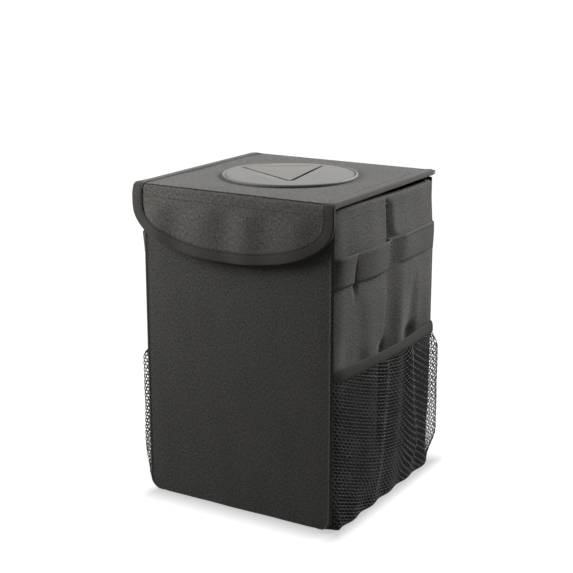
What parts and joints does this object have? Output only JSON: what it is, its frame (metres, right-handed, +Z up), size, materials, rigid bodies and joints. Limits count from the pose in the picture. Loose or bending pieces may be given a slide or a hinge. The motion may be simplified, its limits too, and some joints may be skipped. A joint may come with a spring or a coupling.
{
  "type": "car trash bin",
  "caption": "Soft box bin for a car: cloth panels on boards, net side pockets, waterproof lining, hinged lid with a slit rubber plate and a front flap.",
  "frame": {"origin": "centre of the base, on the floor", "axes": "+Z up, the front flap faces -Y, +X to the right as seen from the front"},
  "size_m": [0.1882, 0.1717, 0.2537],
  "materials": {
    "shell_cloth": "woven, coated",
    "band_cloth": "woven",
    "binding_tape": "woven tape",
    "net": "knitted net",
    "board": "plain",
    "lining": "smooth film",
    "plate_rubber": "smooth, matt",
    "touch_fastener": "looped pile"
  },
  "bodies": {
    "bin": {"front_panel": "shell_cloth", "back_panel": "shell_cloth", "left_side_panel": "shell_cloth", "right_side_panel": "shell_cloth", "base_panel": "shell_cloth", "front_board": "board", "back_board": "board", "base_board": "board", "inner_liner": "lining", "rim_hem": "shell_cloth", "left_band": "band_cloth", "right_band": "band_cloth", "left_net": "net", "right_net": "net", "left_pocket_hem": "binding_tape", "right_pocket_hem": "binding_tape", "loop_patch": "touch_fastener", "hinge_tape": "band_cloth"},
    "lid": {"lid_cover": "shell_cloth", "lid_board": "board", "lid_lining": "lining", "left_lid_binding": "binding_tape", "right_lid_binding": "binding_tape", "slit_plate": "plate_rubber"},
    "tongue": {"slit_tongue": "plate_rubber"},
    "flap": {"front_flap": "shell_cloth", "flap_binding": "binding_tape", "hook_patch": "touch_fastener"}
  },
  "joints": [
    {"name": "lid_hinge", "type": "hinge", "parent": "bin", "child": "lid", "pos_m": [0, 0.0825, 0.24565], "axis": [-1, 0, 0], "range_deg": [0, 180]},
    {"name": "flap_hinge", "type": "hinge", "parent": "lid", "child": "flap", "pos_m": [0, -0.0878, 0.2505], "axis": [-1, 0, 0], "range_deg": [0, 120]},
    {"name": "tongue_hinge", "type": "hinge", "parent": "lid", "child": "tongue", "pos_m": [-0.02136, 0.02211, 0.2516], "axis": [0.8059, 0.592, 0], "range_deg": [0, 65], "stiffness_Nm_per_rad": 0.03, "springref_deg": -2.86}
  ]
}
